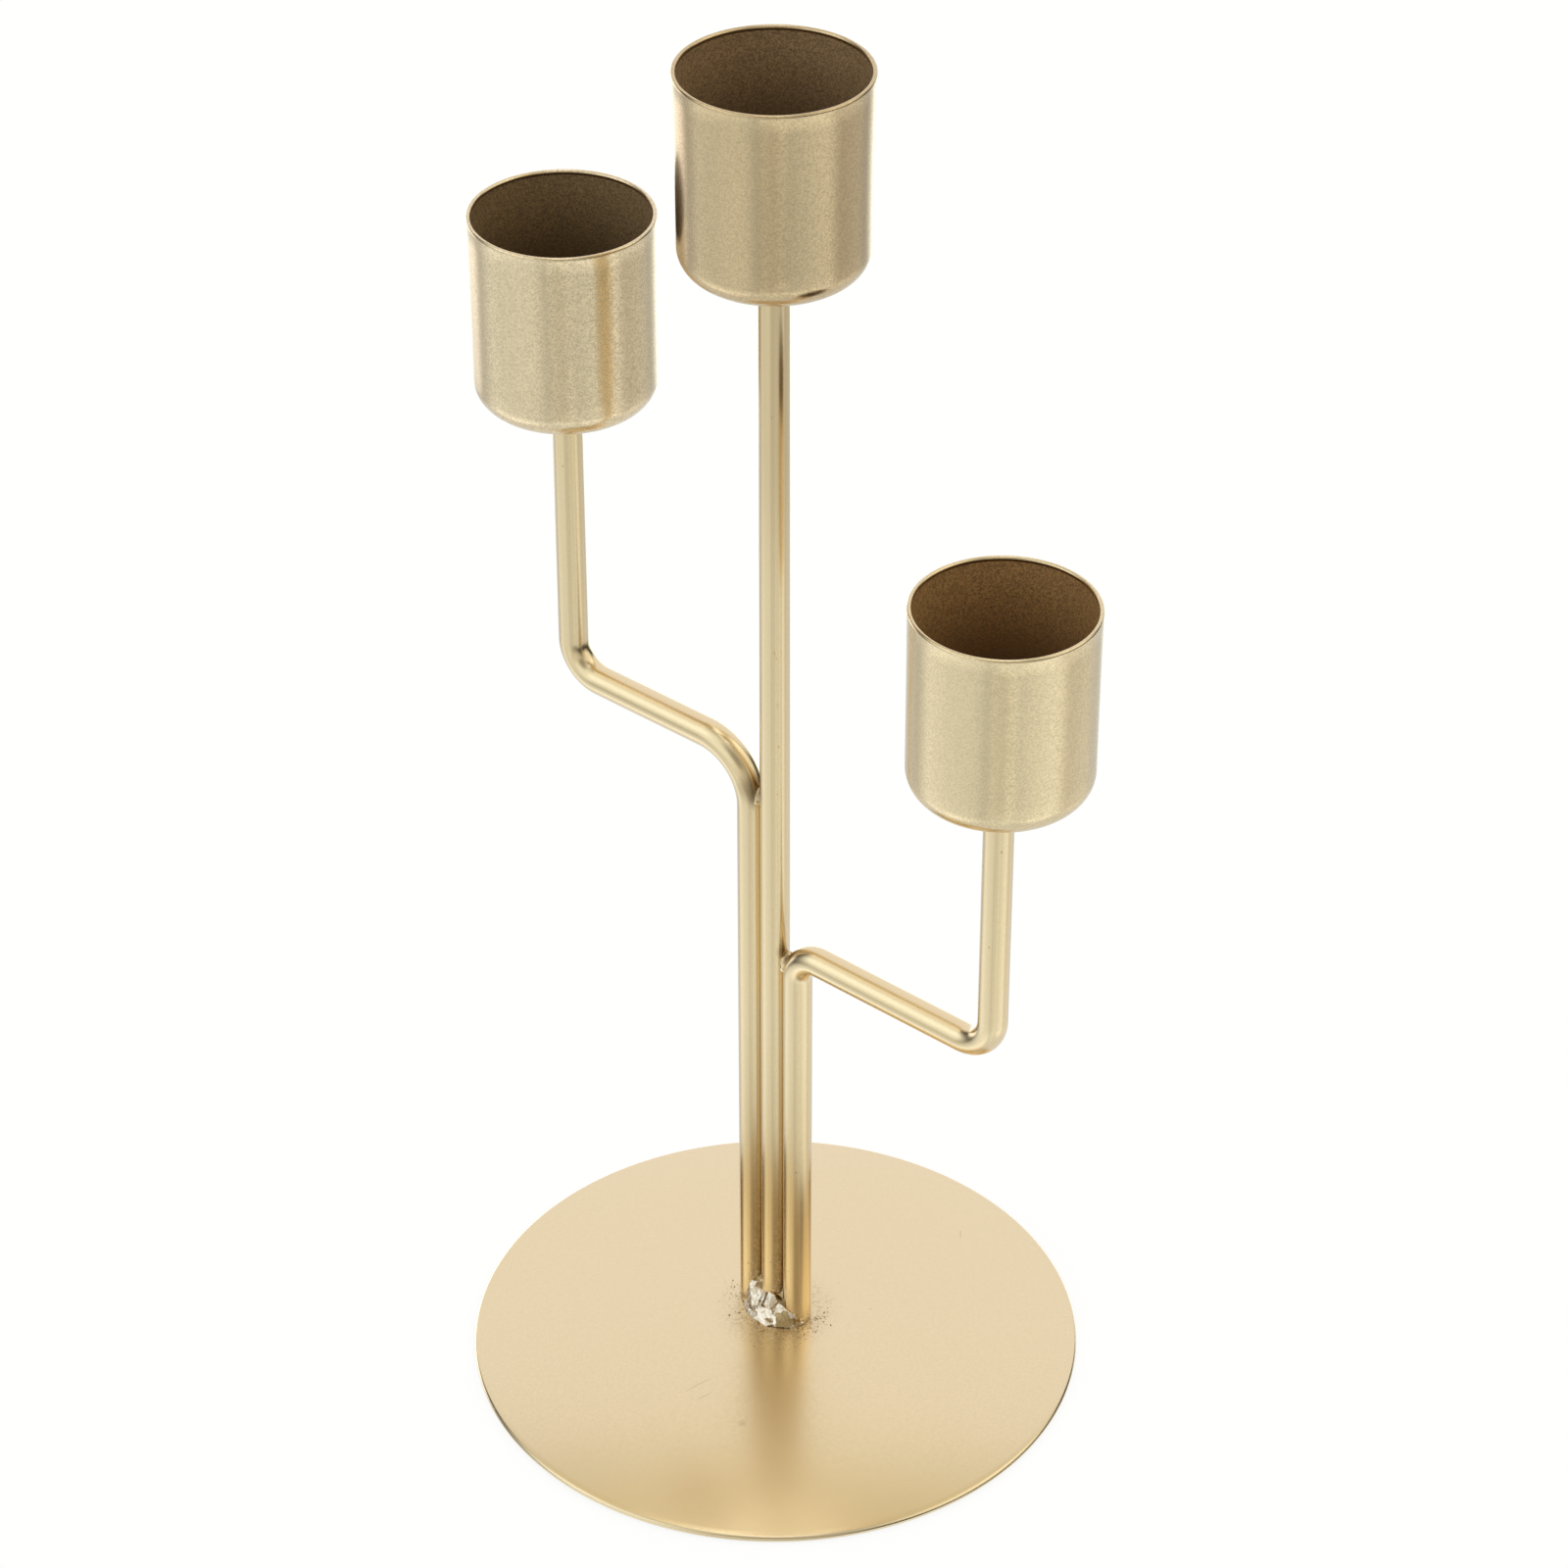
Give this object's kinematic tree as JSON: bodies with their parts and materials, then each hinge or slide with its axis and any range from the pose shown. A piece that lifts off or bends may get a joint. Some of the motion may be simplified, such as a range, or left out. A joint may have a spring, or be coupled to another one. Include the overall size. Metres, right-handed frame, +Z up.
{
  "type": "candelabra",
  "caption": "Small table candelabra of welded wire: two bent arms beside a straight stem on a round crowned base, each with a drawn cup for a taper candle.",
  "frame": {"origin": "on the table, at the middle of the base, under the stem's axis", "axes": "+Z up; +X along the row of rods towards the lower, right arm; +Y to the back, away from the weld bead"},
  "size_m": [0.097, 0.0856, 0.199],
  "materials": {
    "base_paint": "satin",
    "rod_paint": "satin",
    "cup_paint": "satin",
    "weld_metal": "gloss"
  },
  "bodies": {
    "root": {"base_disc": "base_paint", "stem_rod": "rod_paint", "left_arm_rod": "rod_paint", "right_arm_rod": "rod_paint", "stem_cup": "cup_paint", "left_cup": "cup_paint", "right_cup": "cup_paint", "base_weld": "weld_metal", "left_rod_weld": "rod_paint", "right_rod_weld": "rod_paint", "stem_cup_weld": "rod_paint", "left_cup_weld": "rod_paint", "right_cup_weld": "rod_paint"}
  },
  "joints": []
}
